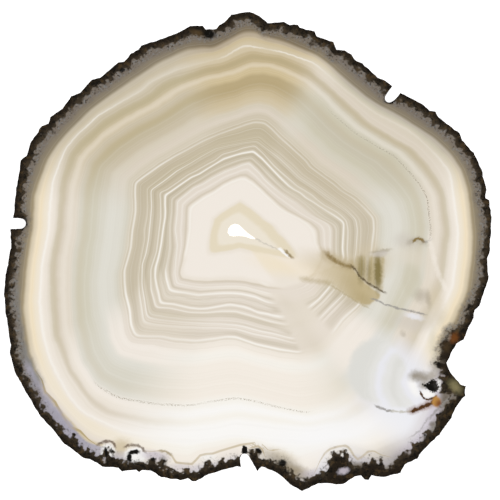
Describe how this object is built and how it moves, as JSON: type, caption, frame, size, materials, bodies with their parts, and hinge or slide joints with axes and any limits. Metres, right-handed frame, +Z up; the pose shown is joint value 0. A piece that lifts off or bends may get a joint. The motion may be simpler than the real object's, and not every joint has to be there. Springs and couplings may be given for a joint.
{
  "type": "agate slice",
  "caption": "Flat polished agate slice with a rough natural rim, narrow rim notches and a small open hollow near its middle; lies on its flat face.",
  "frame": {"origin": "centre of the outline's box, on the lower flat face", "axes": "+Z up, out of the upper polished face; +Y towards the pointed top lobe of the slice; +X to its right, seen from above"},
  "size_m": [0.1514, 0.1488, 0.006],
  "materials": {
    "agate": "gloss"
  },
  "bodies": {
    "root": {"agate_slice": "agate"}
  },
  "joints": []
}
